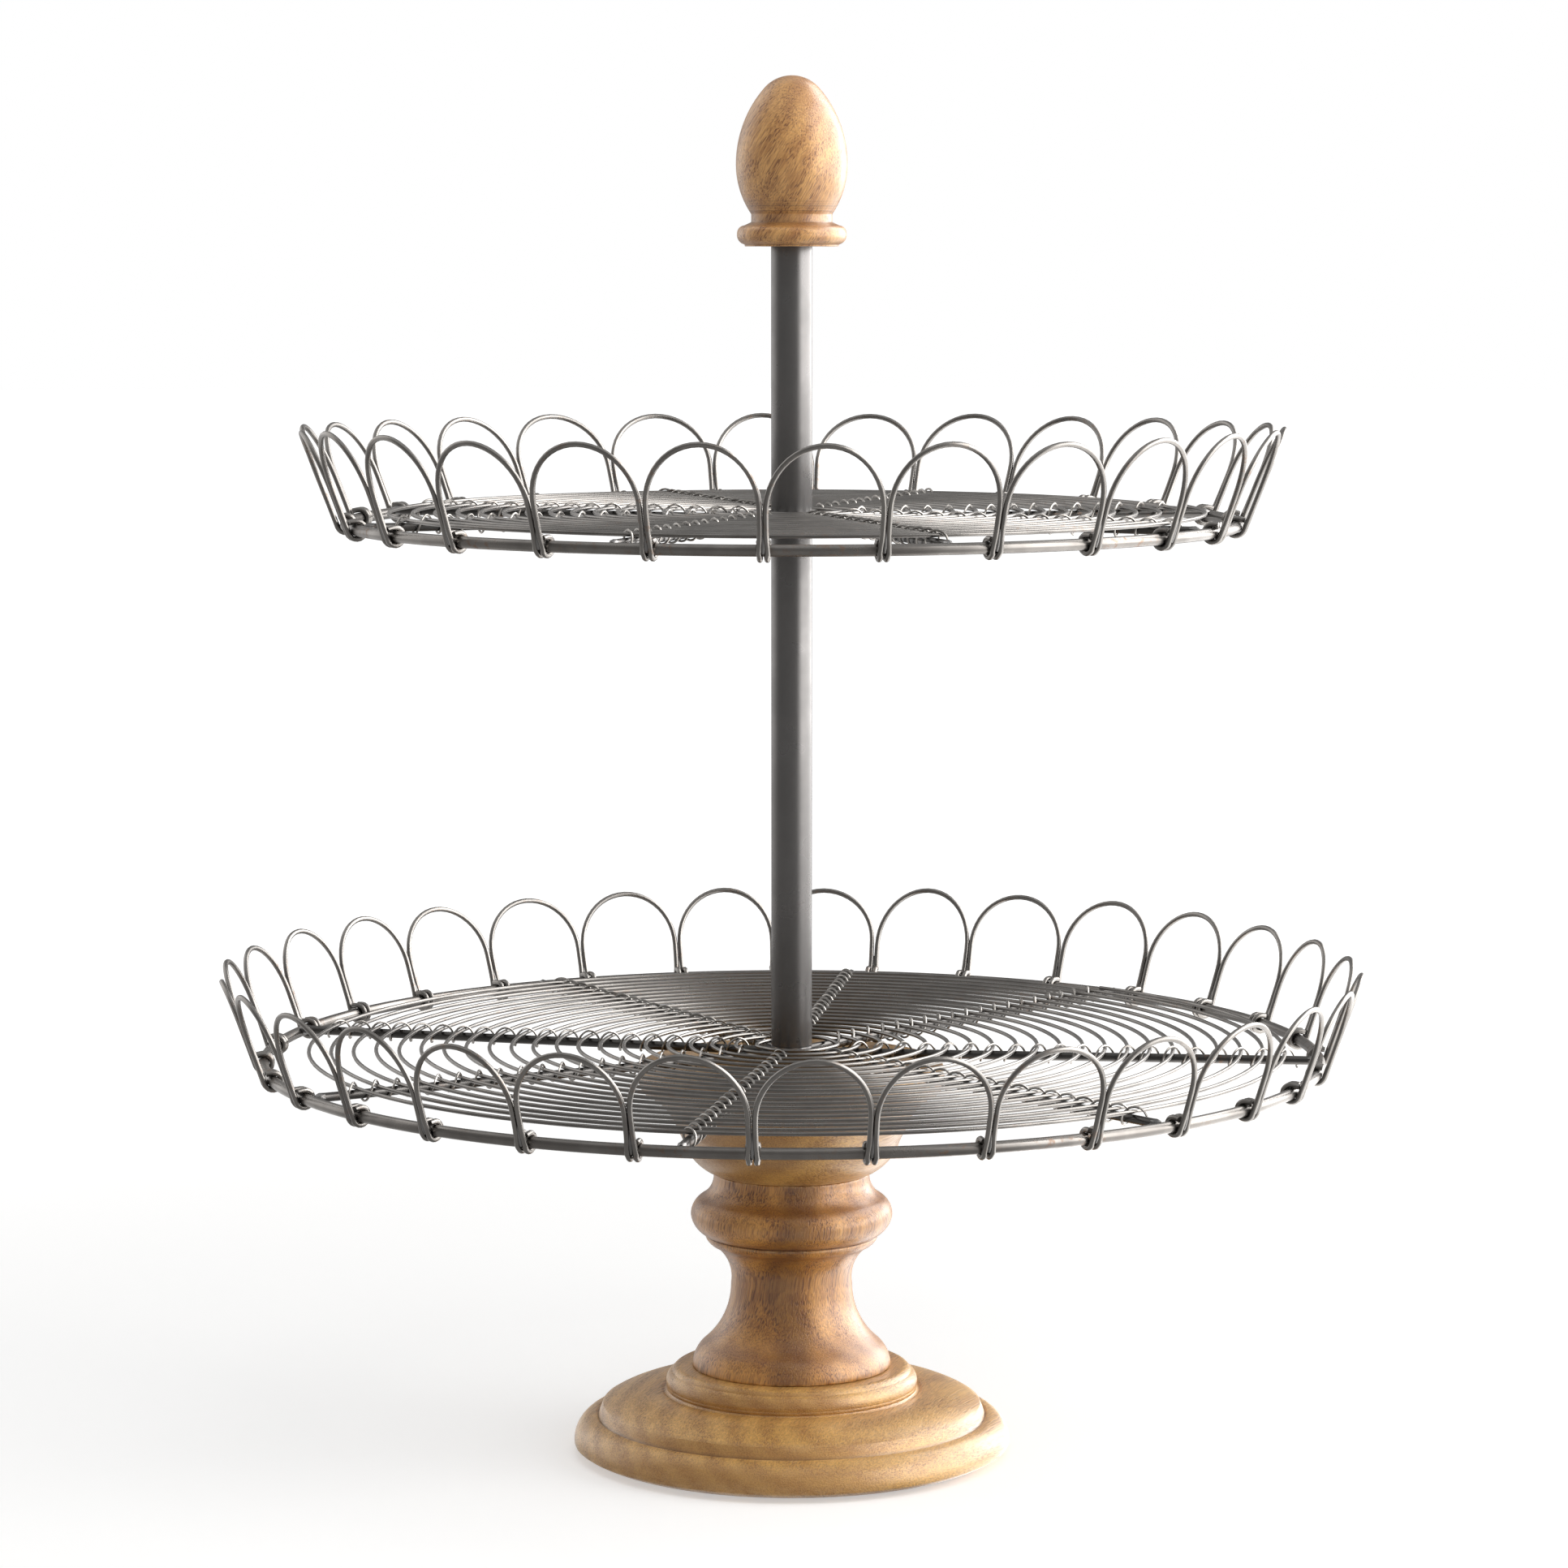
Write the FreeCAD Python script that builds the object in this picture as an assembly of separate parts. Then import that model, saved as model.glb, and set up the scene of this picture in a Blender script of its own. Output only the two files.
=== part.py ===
import FreeCAD, Part
import math
import os

os.makedirs("parts", exist_ok=True)

# Two-tier serving stand: two wire trays on a steel post, a turned wooden pedestal and an egg finial.
# Millimetres and degrees. The origin is on the floor under the middle of the foot, +Z is up.

# Foot of the pedestal. Outline rows: share of the radius, share of the height, bow of the run up to it.
FOOT_RADIUS = 86.2
FOOT_HEIGHT = 34.5
FOOT_OUTLINE_SHARES = (
    (0.847, 0.0, 0.0),
    (1.0, 0.112, 0.07),
    (0.902, 0.440, 0.20),
    (0.882, 0.475, 0.0),
    (0.868, 0.565, 0.0),
    (0.601, 0.725, 0.08),
    (0.573, 0.735, -0.10),
    (0.575, 0.775, 0.10),
    (0.549, 0.940, 0.18),
    (0.511, 1.0, 0.15),
)

# Column of the pedestal. Heights of its members are shares of the column.
COLUMN_HEIGHT = 77.6
COLUMN_FLARE_RADIUS = 39.3
COLUMN_WAIST_RADIUS = 24.0
COLUMN_COVE_RADIUS = 30.2
COLUMN_RING_RADIUS = 34.2
COLUMN_GROOVE_RADIUS = 33.5
COLUMN_BEAD_RADIUS = 39.9
COLUMN_NECK_RADIUS = 30.8
COLUMN_WAIST_SHARE = 0.424
COLUMN_COVE_SHARE = 0.622
COLUMN_RING_SHARE = 0.672
COLUMN_GROOVE_SHARE = 0.679
COLUMN_BEAD_SHARE = 0.782
COLUMN_NECK_SHARE = 0.985
COLUMN_COVE_BOW_SHARE = -0.14
COLUMN_RING_BOW_SHARE = 0.12
COLUMN_BEAD_BOW_SHARE = 0.14
COLUMN_FLARE_MEET_SHARE = 0.29
COLUMN_BEAD_MEET_SHARE = 0.45
TENON_RADIUS = 15.0
CAPITAL_TENON_LENGTH = 16.0
FOOT_WEB = 4.25

# Capital, the flared plate under the lower tray. Outline rows as for the foot.
CAPITAL_RADIUS = 60.0
CAPITAL_HEIGHT = 43.85
CAPITAL_OUTLINE_SHARES = (
    (0.515, 0.0, 0.0),
    (0.700, 0.245, 0.10),
    (0.745, 0.380, -0.04),
    (0.955, 0.735, -0.10),
    (1.0, 0.830, 0.16),
    (1.0, 0.940, 0.04),
    (0.955, 1.0, 0.20),
)

# Finial, an egg on a collar. Heights of its members are shares of the finial.
FINIAL_HEIGHT = 65.6
FINIAL_EGG_RADIUS = 21.6
FINIAL_COLLAR_RADIUS = 21.2
FINIAL_NECK_RADIUS = 15.7
FINIAL_SOLE_SHARE = 0.86
FINIAL_COLLAR_LOW_SHARE = 0.012
FINIAL_COLLAR_SHARE = 0.075
FINIAL_COLLAR_TOP_SHARE = 0.124
FINIAL_COLLAR_TOP_RADIUS_SHARE = 0.87
FINIAL_NECK_LOW_SHARE = 0.143
FINIAL_NECK_TOP_SHARE = 0.190
FINIAL_EGG_SHARE = 0.482
FINIAL_BALL_SHARE = 0.655
FINIAL_COLLAR_BOW_SHARE = 0.20
FINIAL_SEAT_DEPTH = 2.0

# Threaded hardware along the axis: rod, studs, plugs, washers, nut and the brass insert of the finial
THREAD_DIAMETER = 8.0
THREAD_REACH = 14.0
STUD_ROOT_LENGTH = 16.0
PLUG_LENGTH = 20.0
WASHER_THICKNESS = 0.8
BASE_WASHER_DIAMETER = 24.0
BASE_WASHER_THICKNESS = 2.0
NUT_FLATS = 13.0
NUT_HEIGHT = 6.5
ROD_TAIL = 2.5
ROD_END_HEIGHT = 3.0
NUT_RECESS_MARGIN = 3.0
INSERT_DIAMETER = 12.0
INSERT_LENGTH = 15.0

# Clearances
RUNNING_CLEARANCE = 0.08
SEATED_CLEARANCE = 0.05
WOOD_CLEARANCE = 0.25
WELD_GAP = 0.3
OVERRUN = 1.0

# Steel post, in two tubes
POST_DIAMETER = 16.0
POST_WALL = 1.5
LOWER_POST_LENGTH = 203.4
UPPER_POST_LENGTH = 104.85

# Tray hub: a flange under the spokes and a boss between them
HUB_FLANGE_THICKNESS = 2.0
HUB_FLANGE_WIDTH = 4.0

# Tray wires
RIM_DIAMETER = 4.4
SPOKE_DIAMETER = 3.5
RING_DIAMETER = 1.6
BINDING_DIAMETER = 0.8
PETAL_DIAMETER = 2.1
SPOKE_ABOVE_RIM = 1.3
RING_POST_GAP = 1.2
RING_RIM_REACH = 12.0
BINDING_GAP = 0.55

# Petals round a tray: arches of wire that lean out and hook round the rim from below
PETAL_LEAN = 20.0
LEG_GAP = 0.6
HOOK_SWEEP = 280.0

# How much of a petal's width a spoke keeps from the hooks at the petal's ends
SPOKE_CLEAR_SHARE = 0.2

# How much faster a binding wire advances over a ring than on average
BINDING_SURGE_SHARE = 0.8

# Where each tray differs. The spokes are set by hand, unevenly.
LOWER_RIM_RADIUS = 207.0
LOWER_RING_TURNS = 21
LOWER_PETAL_COUNT = 31
LOWER_PETAL_LENGTH = 41.0
LOWER_PETAL_JOINT_ANGLE = 10.6
LOWER_SPOKE_ANGLES = (47.0, 82.5, 121.5, 165.0, 210.0, 259.0, 311.0, 354.0)
UPPER_RIM_RADIUS = 173.0
UPPER_RING_TURNS = 17
UPPER_PETAL_COUNT = 26
UPPER_PETAL_LENGTH = 42.0
UPPER_PETAL_JOINT_ANGLE = 3.7
UPPER_SPOKE_ANGLES = (15.0, 68.0, 110.0, 158.0, 200.0, 248.0, 289.0, 332.0)

# Sampling of a wound wire when its least gap is measured
POINTS_PER_ARC = 8
ARCS_PER_TURN = 4

# Levels of the stack, from the floor up
BASE_NUT_BASE = ROD_END_HEIGHT + ROD_TAIL
BASE_WASHER_BASE = BASE_NUT_BASE + NUT_HEIGHT
NUT_RECESS_ROOF = BASE_WASHER_BASE + BASE_WASHER_THICKNESS
FOOT_SOCKET_FLOOR = NUT_RECESS_ROOF + FOOT_WEB
COLUMN_BASE = FOOT_HEIGHT
CAPITAL_BASE = COLUMN_BASE + COLUMN_HEIGHT
LOWER_HUB_BASE = CAPITAL_BASE + CAPITAL_HEIGHT
HUB_HEIGHT = HUB_FLANGE_THICKNESS + WELD_GAP + SPOKE_DIAMETER
LOWER_WASHER_BASE = LOWER_HUB_BASE + HUB_HEIGHT
LOWER_POST_BASE = LOWER_WASHER_BASE + WASHER_THICKNESS
UPPER_HUB_BASE = LOWER_POST_BASE + LOWER_POST_LENGTH
UPPER_WASHER_BASE = UPPER_HUB_BASE + HUB_HEIGHT
UPPER_POST_BASE = UPPER_WASHER_BASE + WASHER_THICKNESS
FINIAL_WASHER_BASE = UPPER_POST_BASE + UPPER_POST_LENGTH
FINIAL_BASE = FINIAL_WASHER_BASE - FINIAL_SEAT_DEPTH
FINIAL_SEAT = FINIAL_WASHER_BASE + WASHER_THICKNESS

THREAD_RADIUS = THREAD_DIAMETER / 2
POST_RADIUS = POST_DIAMETER / 2
POST_BORE_RADIUS = POST_RADIUS - POST_WALL
THREADED_BORE_RADIUS = THREAD_RADIUS + RUNNING_CLEARANCE
ROD_HOLE_RADIUS = THREAD_RADIUS + WOOD_CLEARANCE

UP = FreeCAD.Vector(0, 0, 1)
AXIS_FOOT = FreeCAD.Vector(0, 0, 0)


def export(name, shape):
    """Write one node."""
    shape.exportStep("parts/" + name + ".step")


def on_axis(height):
    """Point of the stand's axis at a height."""
    return FreeCAD.Vector(0, 0, height)


def rod(radius, bottom, top):
    """Upright round bar on the axis."""
    return Part.makeCylinder(radius, top - bottom, on_axis(bottom))


def sleeve(radius, bore_radius, bottom, top):
    """Upright bar on the axis with a bore right through it."""
    return rod(radius, bottom, top).cut(rod(bore_radius, bottom - OVERRUN, top + OVERRUN))


# Turned wood

def run(start, end, bow_share):
    """Line or arc of an outline; a positive bow swells to the right of the way it runs."""
    first = FreeCAD.Vector(start[0], 0, start[1])
    last = FreeCAD.Vector(end[0], 0, end[1])
    if bow_share == 0:
        return Part.LineSegment(first, last).toShape()
    along = last - first
    swell = FreeCAD.Vector(along.z, 0, -along.x) * bow_share
    return Part.Arc(first, (first + last) / 2 + swell, last).toShape()


def ogee(start, end, meet_share):
    """Outline rows of a double curve that is upright at both ends."""
    across = end[0] - start[0]
    rise = end[1] - start[1]
    bow_share = math.tan(math.atan2(abs(across), rise) / 2) / 2
    if across > 0:
        bow_share = -bow_share
    meet = (start[0] + across * meet_share, start[1] + rise * meet_share, bow_share)
    return [meet, (end[0], end[1], -bow_share)]


def turned(rows):
    """Solid turned from outline rows of radius, height and bow, closed along the axis."""
    edges = []
    for start, end in zip(rows, rows[1:]):
        edges.append(run(start, end, end[2]))
    edges.append(run(rows[-1], rows[0], 0))
    return Part.Face(Part.Wire(edges)).revolve(AXIS_FOOT, UP, 360)


def shared_rows(shares, radius, base, height):
    """Outline rows from shares of a radius and a height, with the axis at both ends."""
    rows = [(0, base, 0)]
    for radius_share, height_share, bow_share in shares:
        rows.append((radius * radius_share, base + height * height_share, bow_share))
    rows.append((0, base + height, 0))
    return rows


def foot():
    """Broad stepped foot with a socket for the column and a recess for the nut."""
    body = turned(shared_rows(FOOT_OUTLINE_SHARES, FOOT_RADIUS, 0, FOOT_HEIGHT))
    body = body.cut(rod(TENON_RADIUS + WOOD_CLEARANCE, FOOT_SOCKET_FLOOR, COLUMN_BASE + OVERRUN))
    recess_radius = BASE_WASHER_DIAMETER / 2 + NUT_RECESS_MARGIN
    body = body.cut(rod(recess_radius, -OVERRUN, NUT_RECESS_ROOF))
    return body.cut(rod(ROD_HOLE_RADIUS, 0, COLUMN_BASE))


def column():
    """Turned column with a tenon at each end."""
    flare = (COLUMN_FLARE_RADIUS, COLUMN_BASE)
    waist = (COLUMN_WAIST_RADIUS, COLUMN_BASE + COLUMN_HEIGHT * COLUMN_WAIST_SHARE)
    cove = (COLUMN_COVE_RADIUS, COLUMN_BASE + COLUMN_HEIGHT * COLUMN_COVE_SHARE)
    ring = (COLUMN_RING_RADIUS, COLUMN_BASE + COLUMN_HEIGHT * COLUMN_RING_SHARE)
    groove = (COLUMN_GROOVE_RADIUS, COLUMN_BASE + COLUMN_HEIGHT * COLUMN_GROOVE_SHARE)
    bead = (COLUMN_BEAD_RADIUS, COLUMN_BASE + COLUMN_HEIGHT * COLUMN_BEAD_SHARE)
    neck = (COLUMN_NECK_RADIUS, COLUMN_BASE + COLUMN_HEIGHT * COLUMN_NECK_SHARE)
    low_end = FOOT_SOCKET_FLOOR + WOOD_CLEARANCE
    high_end = CAPITAL_BASE + CAPITAL_TENON_LENGTH
    rows = [(0, low_end, 0), (TENON_RADIUS, low_end, 0), (TENON_RADIUS, COLUMN_BASE, 0), flare + (0,)]
    rows += ogee(flare, waist, COLUMN_FLARE_MEET_SHARE)
    rows += [cove + (COLUMN_COVE_BOW_SHARE,), ring + (COLUMN_RING_BOW_SHARE,), groove + (0,)]
    rows += [bead + (COLUMN_BEAD_BOW_SHARE,)]
    rows += ogee(bead, neck, COLUMN_BEAD_MEET_SHARE)
    rows += [(COLUMN_NECK_RADIUS, CAPITAL_BASE, 0), (TENON_RADIUS, CAPITAL_BASE, 0)]
    rows += [(TENON_RADIUS, high_end, 0), (0, high_end, 0)]
    return turned(rows).cut(rod(ROD_HOLE_RADIUS, low_end - OVERRUN, high_end + OVERRUN))


def capital():
    """Flared plate that carries the lower tray, with a socket for the column below."""
    body = turned(shared_rows(CAPITAL_OUTLINE_SHARES, CAPITAL_RADIUS, CAPITAL_BASE, CAPITAL_HEIGHT))
    socket_roof = CAPITAL_BASE + CAPITAL_TENON_LENGTH + WOOD_CLEARANCE
    body = body.cut(rod(TENON_RADIUS + WOOD_CLEARANCE, CAPITAL_BASE - OVERRUN, socket_roof))
    return body.cut(rod(ROD_HOLE_RADIUS, CAPITAL_BASE, LOWER_HUB_BASE + OVERRUN))


def finial():
    """Egg on a collar, with a seat for the post and a socket for the insert."""
    sole_radius = FINIAL_COLLAR_RADIUS * FINIAL_SOLE_SHARE
    collar_low = FINIAL_BASE + FINIAL_HEIGHT * FINIAL_COLLAR_LOW_SHARE
    collar = (FINIAL_COLLAR_RADIUS, FINIAL_BASE + FINIAL_HEIGHT * FINIAL_COLLAR_SHARE)
    collar_top_radius = FINIAL_COLLAR_RADIUS * FINIAL_COLLAR_TOP_RADIUS_SHARE
    collar_top = FINIAL_BASE + FINIAL_HEIGHT * FINIAL_COLLAR_TOP_SHARE
    neck_low = FINIAL_BASE + FINIAL_HEIGHT * FINIAL_NECK_LOW_SHARE
    neck_top = FINIAL_BASE + FINIAL_HEIGHT * FINIAL_NECK_TOP_SHARE
    egg = (FINIAL_EGG_RADIUS, FINIAL_BASE + FINIAL_HEIGHT * FINIAL_EGG_SHARE)
    low_lean = math.atan2(egg[0] - FINIAL_NECK_RADIUS, egg[1] - neck_top)
    tip = FINIAL_BASE + FINIAL_HEIGHT
    # The tip is a ball on the axis, and one arc joins it smoothly to the widest ring of the egg
    ball_radius = FINIAL_EGG_RADIUS * FINIAL_BALL_SHARE
    ball_rise = tip - ball_radius - egg[1]
    flank_squares = FINIAL_EGG_RADIUS ** 2 + ball_rise ** 2 - ball_radius ** 2
    flank_radius = flank_squares / (2 * (FINIAL_EGG_RADIUS - ball_radius))
    flank_offset = flank_radius - FINIAL_EGG_RADIUS
    flank_turn = math.atan2(ball_rise, flank_offset)
    shoulder = (flank_radius * math.cos(flank_turn) - flank_offset, egg[1] + flank_radius * math.sin(flank_turn))
    body = turned([
        (0, FINIAL_BASE, 0),
        (sole_radius, FINIAL_BASE, 0),
        (sole_radius, collar_low, 0),
        collar + (FINIAL_COLLAR_BOW_SHARE,),
        (collar_top_radius, collar_top, FINIAL_COLLAR_BOW_SHARE),
        (FINIAL_NECK_RADIUS, neck_low, 0),
        (FINIAL_NECK_RADIUS, neck_top, 0),
        egg + (math.tan(low_lean / 2) / 2,),
        shoulder + (math.tan(flank_turn / 4) / 2,),
        (0, tip, math.tan((math.pi / 2 - flank_turn) / 4) / 2),
    ])
    body = body.cut(rod(POST_RADIUS + WELD_GAP, FINIAL_BASE - OVERRUN, FINIAL_SEAT))
    socket_roof = FINIAL_SEAT + INSERT_LENGTH + WOOD_CLEARANCE
    return body.cut(rod(INSERT_DIAMETER / 2 + SEATED_CLEARANCE, FINIAL_SEAT, socket_roof))


# Threaded hardware

def hex_nut(bottom):
    """Plain hexagon nut on the axis."""
    corner_radius = NUT_FLATS / 2 / math.cos(math.pi / 6)
    corners = []
    for corner in range(7):
        angle = math.pi / 3 * corner
        corners.append(FreeCAD.Vector(corner_radius * math.cos(angle), corner_radius * math.sin(angle), bottom))
    block = Part.Face(Part.makePolygon(corners)).extrude(UP * NUT_HEIGHT)
    return block.cut(rod(THREADED_BORE_RADIUS, bottom - OVERRUN, bottom + NUT_HEIGHT + OVERRUN))


def turning_washer(bottom):
    """Thin washer under a screwed joint."""
    return sleeve(POST_RADIUS, THREADED_BORE_RADIUS, bottom, bottom + WASHER_THICKNESS)


def plug(bottom):
    """Threaded plug pressed into the end of a post tube."""
    radius = POST_BORE_RADIUS - SEATED_CLEARANCE
    return sleeve(radius, THREADED_BORE_RADIUS, bottom, bottom + PLUG_LENGTH)


# Wire paths and wires

def arc_from(start, direction, end):
    """Arc that leaves its start along a direction and ends at a point."""
    chord = end - start
    aside = direction - chord * (direction.dot(chord) / chord.dot(chord))
    half_turn = direction.getAngle(chord)
    top = (start + end) / 2 + aside.normalize() * (chord.Length / 2 * math.tan(half_turn / 2))
    return Part.Arc(start, top, end).toShape()


def biarc(start, start_direction, end, end_direction):
    """Two arcs that join two points with a given direction at each."""
    chord = end - start
    both = start_direction + end_direction
    spread = 2 * (1 - start_direction.dot(end_direction))
    lean = chord.dot(both)
    reach = (math.sqrt(lean * lean + spread * chord.dot(chord)) - lean) / spread
    meet = (start + end + (start_direction - end_direction) * reach) / 2
    middle_direction = (end - start - both * reach).normalize()
    return [arc_from(start, start_direction, meet), arc_from(meet, middle_direction, end)]


def wound_path(places):
    """Chain of biarcs through places, each a point and a direction."""
    edges = []
    for (start, start_direction), (end, end_direction) in zip(places, places[1:]):
        edges += biarc(start, start_direction, end, end_direction)
    return edges


def wire_solid(edges, diameter):
    """Round wire along a smooth chain of edges."""
    first = edges[0]
    start = first.valueAt(first.FirstParameter)
    direction = first.tangentAt(first.FirstParameter)
    section = Part.Wire(Part.makeCircle(diameter / 2, start, direction))
    return Part.Wire(edges).makePipeShell([section], True, False)


def least_gap(edges, diameter):
    """Least clear distance between the turns of a wound wire, measured on points."""
    points = []
    for edge in edges:
        points += edge.discretize(POINTS_PER_ARC + 1)[:-1]
    half_turn = POINTS_PER_ARC * ARCS_PER_TURN // 2
    least = min(
        (points[later] - points[earlier]).Length
        for earlier in range(len(points))
        for later in range(earlier + half_turn, min(earlier + 4 * half_turn, len(points)))
    )
    return least - diameter


# Trays

class Tray:
    """Sizes of one tray, worked out from its hub's level and its own values."""

    def __init__(self, hub_base, rim_radius, ring_turns, petal_count, petal_length, joint_angle, spoke_angles):
        self.hub_base = hub_base
        self.rim_radius = rim_radius
        self.ring_turns = ring_turns
        self.petal_count = petal_count
        self.petal_length = petal_length
        self.petal_pitch = 360 / petal_count
        self.joint_angle = joint_angle
        self.spoke_angles = [self.clear_of_hooks(angle) for angle in spoke_angles]
        self.flange_radius = POST_RADIUS + HUB_FLANGE_WIDTH
        self.spoke_height = hub_base + HUB_HEIGHT - SPOKE_DIAMETER / 2
        self.rim_height = self.spoke_height - SPOKE_ABOVE_RIM
        self.ring_height = hub_base + HUB_HEIGHT + WELD_GAP + RING_DIAMETER / 2
        self.ring_start_radius = POST_RADIUS + RING_POST_GAP + RING_DIAMETER / 2
        self.ring_pitch = (rim_radius - RING_RIM_REACH - self.ring_start_radius) / ring_turns

    def clear_of_hooks(self, angle):
        """Nearest place to an angle where a spoke keeps clear of the petals' hooks."""
        share = (angle - self.joint_angle) / self.petal_pitch % 1
        clear_share = min(max(share, SPOKE_CLEAR_SHARE), 1 - SPOKE_CLEAR_SHARE)
        return angle + self.petal_pitch * (clear_share - share)

    def hub(self):
        flange = rod(self.flange_radius, self.hub_base, self.hub_base + HUB_FLANGE_THICKNESS)
        body = flange.fuse(rod(POST_RADIUS, self.hub_base, self.hub_base + HUB_HEIGHT))
        bore = rod(THREADED_BORE_RADIUS, self.hub_base - OVERRUN, self.hub_base + HUB_HEIGHT + OVERRUN)
        return body.cut(bore).removeSplitter()

    def spoke(self, angle):
        inner = POST_RADIUS + WELD_GAP
        length = self.rim_radius - RIM_DIAMETER / 2 - WELD_GAP - inner
        bar = Part.makeCylinder(SPOKE_DIAMETER / 2, length, FreeCAD.Vector(inner, 0, self.spoke_height),
                                FreeCAD.Vector(1, 0, 0))
        bar.rotate(AXIS_FOOT, UP, angle)
        return bar

    def rim(self):
        return Part.makeTorus(self.rim_radius, RIM_DIAMETER / 2, on_axis(self.rim_height), UP)

    def ring_path(self):
        """Flat spiral from the post to the rim, on top of the spokes, that starts and ends over a spoke."""
        rate = self.ring_pitch / (2 * math.pi)
        places = []
        for half_turn in range(2 * self.ring_turns + 1):
            turned_by = math.pi * half_turn
            angle = math.radians(self.spoke_angles[0]) + turned_by
            radius = self.ring_start_radius + rate * turned_by
            outward = FreeCAD.Vector(math.cos(angle), math.sin(angle), 0)
            onward = UP.cross(outward)
            point = outward * radius + on_axis(self.ring_height)
            places.append((point, (outward * rate + onward * radius).normalize()))
        return wound_path(places)

    def binding_path(self, spoke_angle):
        """Wire wound along a spoke, one loop over each ring and under the spoke."""
        low = self.spoke_height - SPOKE_DIAMETER / 2
        high = self.ring_height + RING_DIAMETER / 2
        axis_height = (low + high) / 2
        loop_radius = (high - low) / 2 + BINDING_GAP + BINDING_DIAMETER / 2
        first_ring = self.ring_start_radius + self.ring_pitch * (spoke_angle - self.spoke_angles[0]) / 360
        skipped = math.ceil((self.flange_radius + self.ring_pitch - first_ring) / self.ring_pitch)
        loops = self.ring_turns - skipped
        rate = self.ring_pitch / (2 * math.pi)
        angle = math.radians(spoke_angle)
        outward = FreeCAD.Vector(math.cos(angle), math.sin(angle), 0)
        aside = UP.cross(outward)
        places = []
        for half_loop in range(2 * loops + 1):
            turned_by = math.pi * (half_loop - 1)
            radius = first_ring + self.ring_pitch * skipped + rate * turned_by
            side = math.cos(turned_by)
            point = outward * radius + on_axis(axis_height + loop_radius * side)
            advance = rate * (1 + BINDING_SURGE_SHARE * side)
            places.append((point, (outward * advance + aside * (loop_radius * side)).normalize()))
        return wound_path(places)

    def petal(self):
        """One arch of wire, its legs in the rim's own radial planes, hooked round the rim at both ends."""
        lean = math.radians(PETAL_LEAN)
        reach = RIM_DIAMETER / 2 + WELD_GAP + PETAL_DIAMETER / 2
        leg_radius = self.rim_radius + reach * math.cos(lean)
        leg_spacing = (PETAL_DIAMETER + LEG_GAP) / 2
        half_angle = math.pi / self.petal_count - leg_spacing / leg_radius
        arch_turn = math.pi / 2 + math.asin(math.sin(lean) * math.sin(half_angle))
        arch_share = math.sin(half_angle) * math.tan(arch_turn / 2)
        arch_top = self.petal_length - PETAL_DIAMETER / 2
        leg_length = (arch_top - arch_share * leg_radius) / (1 + arch_share * math.sin(lean))
        sweep = math.radians(HOOK_SWEEP)
        hooks = []
        legs = []
        for side in (-1, 1):
            angle = half_angle * side
            outward = FreeCAD.Vector(math.cos(angle), math.sin(angle), 0)
            upward = outward * math.sin(lean) + UP * math.cos(lean)
            away = outward * math.cos(lean) - UP * math.sin(lean)
            rim_point = outward * self.rim_radius + on_axis(self.rim_height)
            heel = rim_point + away * reach
            bend = rim_point + (away * math.cos(sweep / 2) - upward * math.sin(sweep / 2)) * reach
            tip = rim_point + (away * math.cos(sweep) - upward * math.sin(sweep)) * reach
            hooks.append((heel, bend, tip))
            legs.append((heel, heel + upward * leg_length, upward))
        edges = [Part.Arc(hooks[0][2], hooks[0][1], hooks[0][0]).toShape()]
        edges.append(Part.LineSegment(legs[0][0], legs[0][1]).toShape())
        edges.append(arc_from(legs[0][1], legs[0][2], legs[1][1]))
        edges.append(Part.LineSegment(legs[1][1], legs[1][0]).toShape())
        edges.append(Part.Arc(hooks[1][0], hooks[1][1], hooks[1][2]).toShape())
        return wire_solid(edges, PETAL_DIAMETER)

    def petals(self):
        arches = []
        for number in range(self.petal_count):
            arch = self.petal()
            arch.rotate(AXIS_FOOT, UP, self.joint_angle + self.petal_pitch * (number + 1 / 2))
            arches.append(arch)
        return Part.makeCompound(arches)

    def export(self, name):
        export(name + "_hub", self.hub())
        export(name + "_rim", self.rim())
        ring = self.ring_path()
        print(name, "ring wire, least gap", round(least_gap(ring, RING_DIAMETER), 2))
        export(name + "_ring_wire", wire_solid(ring, RING_DIAMETER))
        bindings = []
        for number, angle in enumerate(self.spoke_angles, 1):
            export(name + "_spoke_" + str(number), self.spoke(angle))
            binding = self.binding_path(angle)
            print(name, "binding wire", number, "least gap", round(least_gap(binding, BINDING_DIAMETER), 2))
            bindings.append(wire_solid(binding, BINDING_DIAMETER))
        export(name + "_binding_wires", Part.makeCompound(bindings))
        export(name + "_petals", self.petals())


# Pedestal

export("foot", foot())
export("column", column())
export("capital", capital())
export("tie_rod", rod(THREAD_RADIUS, ROD_END_HEIGHT, LOWER_POST_BASE + THREAD_REACH))
export("base_washer", sleeve(BASE_WASHER_DIAMETER / 2, ROD_HOLE_RADIUS, BASE_WASHER_BASE, NUT_RECESS_ROOF))
export("base_nut", hex_nut(BASE_NUT_BASE))

# Trays

lower_tray = Tray(LOWER_HUB_BASE, LOWER_RIM_RADIUS, LOWER_RING_TURNS, LOWER_PETAL_COUNT,
                  LOWER_PETAL_LENGTH, LOWER_PETAL_JOINT_ANGLE, LOWER_SPOKE_ANGLES)
lower_tray.export("lower")
upper_tray = Tray(UPPER_HUB_BASE, UPPER_RIM_RADIUS, UPPER_RING_TURNS, UPPER_PETAL_COUNT,
                  UPPER_PETAL_LENGTH, UPPER_PETAL_JOINT_ANGLE, UPPER_SPOKE_ANGLES)
upper_tray.export("upper")

# Lower post, which screws onto the tie rod and carries the upper tray

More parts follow.
